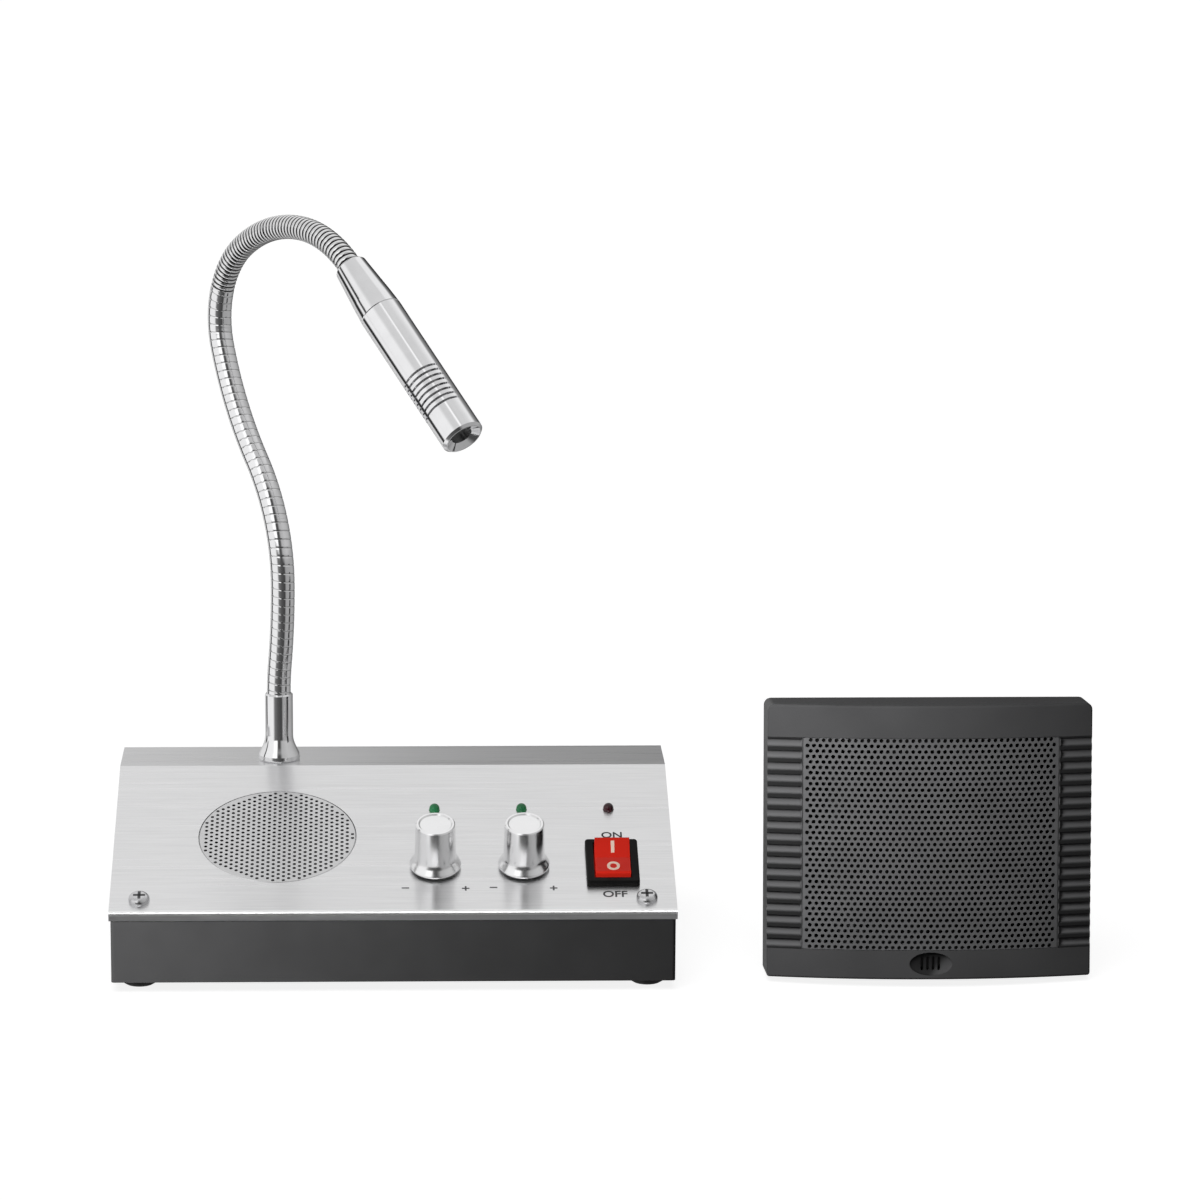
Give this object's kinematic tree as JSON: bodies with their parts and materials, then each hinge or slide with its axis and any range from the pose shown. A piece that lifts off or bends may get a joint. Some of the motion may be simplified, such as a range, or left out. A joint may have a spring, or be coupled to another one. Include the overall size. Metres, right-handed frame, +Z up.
{
  "type": "teller window intercom",
  "caption": "Counter intercom: sloped desk unit with gooseneck microphone, volume knobs and power rocker, and a leaning loudspeaker unit for the public side.",
  "frame": {"origin": "middle of the pair's footprint, at the level of the counter", "axes": "+X to the clerk's right, from the desk unit to the window unit; -Y towards the clerk; +Z up"},
  "size_m": [0.278, 0.1008, 0.2116],
  "materials": {
    "brushed_panel": "brushed",
    "aluminium": "plain",
    "tray_grey": "satin",
    "rubber": "matt",
    "steel": "satin",
    "brass": "plain",
    "knob_chrome": "satin",
    "neck_chrome": "bright",
    "grille_black": "satin",
    "grille_metal": "satin",
    "window_grille_black": "painted, satin",
    "window_plastic": "matt",
    "black_plastic": "gloss",
    "rocker_red": "gloss",
    "led_green": "clear tinted",
    "led_red": "clear tinted",
    "board_green": "solder mask",
    "cone_black": "paper",
    "magnet_grey": "plain"
  },
  "bodies": {
    "desk_and_window_units": {"amplifier_chip": "black_plastic", "base_tray": "tray_grey", "board_screws": "steel", "capacitors": "black_plastic", "circuit_board": "board_green", "desk_grille": "grille_metal", "desk_speaker_cone": "cone_black", "desk_speaker_frame": "steel", "desk_speaker_magnet": "magnet_grey", "heat_sink": "aluminium", "inside_volume_led": "led_green", "inside_volume_nut": "steel", "inside_volume_pot": "steel", "line_jack": "black_plastic", "neck_ferrule": "neck_chrome", "neck_nut": "steel", "neck_span_1": "neck_chrome", "outside_volume_led": "led_green", "outside_volume_nut": "steel", "outside_volume_pot": "steel", "panel_screws": "steel", "power_led": "led_red", "power_socket": "black_plastic", "rear_screws": "steel", "rubber_feet": "rubber", "switch_body": "black_plastic", "top_panel": "brushed_panel", "window_cover": "window_plastic", "window_grille": "window_grille_black", "window_jack": "black_plastic", "window_microphone": "steel", "window_screws": "steel", "window_shell": "window_plastic", "window_speaker_cone": "cone_black", "window_speaker_frame": "steel", "window_speaker_magnet": "magnet_grey"},
    "inside_volume_control": {"inside_volume_knob": "knob_chrome", "inside_volume_shaft": "brass"},
    "outside_volume_control": {"outside_volume_knob": "knob_chrome", "outside_volume_shaft": "brass"},
    "power_rocker": {"switch_rocker": "rocker_red"},
    "neck_lower": {"neck_span_2": "neck_chrome"},
    "neck_middle": {"neck_span_3": "neck_chrome"},
    "neck_upper": {"neck_span_4": "neck_chrome"},
    "neck_arch": {"neck_span_5": "neck_chrome"},
    "microphone": {"neck_span_6": "neck_chrome", "mic_rear_body": "neck_chrome", "mic_front_tube": "neck_chrome", "mic_capsule": "steel", "mic_guard": "grille_black"}
  },
  "joints": [
    {"name": "inside_volume_turn", "type": "hinge", "parent": "desk_and_window_units", "child": "inside_volume_control", "pos_m": [-0.047, -0.03065, 0.03129], "axis": [0, -0.3502, 0.9367], "range_deg": [-150, 150]},
    {"name": "outside_volume_turn", "type": "hinge", "parent": "desk_and_window_units", "child": "outside_volume_control", "pos_m": [-0.0218, -0.03065, 0.03129], "axis": [0, -0.3502, 0.9367], "range_deg": [-150, 150]},
    {"name": "power_rocker_tilt", "type": "hinge", "parent": "desk_and_window_units", "child": "power_rocker", "pos_m": [0.0034, -0.02902, 0.02891], "axis": [-1, 0, 0], "range_deg": [0, 22]},
    {"name": "neck_bend_1", "type": "hinge", "parent": "desk_and_window_units", "child": "neck_lower", "pos_m": [-0.09106, 0.02379, 0.10222], "axis": [0.7815, 0.6239, 0], "range_deg": [-25, 25]},
    {"name": "neck_bend_2", "type": "hinge", "parent": "neck_lower", "child": "neck_middle", "pos_m": [-0.09855, 0.03317, 0.13756], "axis": [-0.495, 0.62, -0.6088], "range_deg": [-25, 25]},
    {"name": "neck_bend_3", "type": "hinge", "parent": "neck_middle", "child": "neck_upper", "pos_m": [-0.10878, 0.04598, 0.1694], "axis": [0.7815, 0.6239, 0], "range_deg": [-25, 25]},
    {"name": "neck_bend_4", "type": "hinge", "parent": "neck_upper", "child": "neck_arch", "pos_m": [-0.10197, 0.03745, 0.2002], "axis": [-0.3489, 0.437, 0.829], "range_deg": [-25, 25]},
    {"name": "neck_bend_5", "type": "hinge", "parent": "neck_arch", "child": "microphone", "pos_m": [-0.08425, 0.01525, 0.20808], "axis": [0.7815, 0.6239, 0], "range_deg": [-25, 25]}
  ]
}
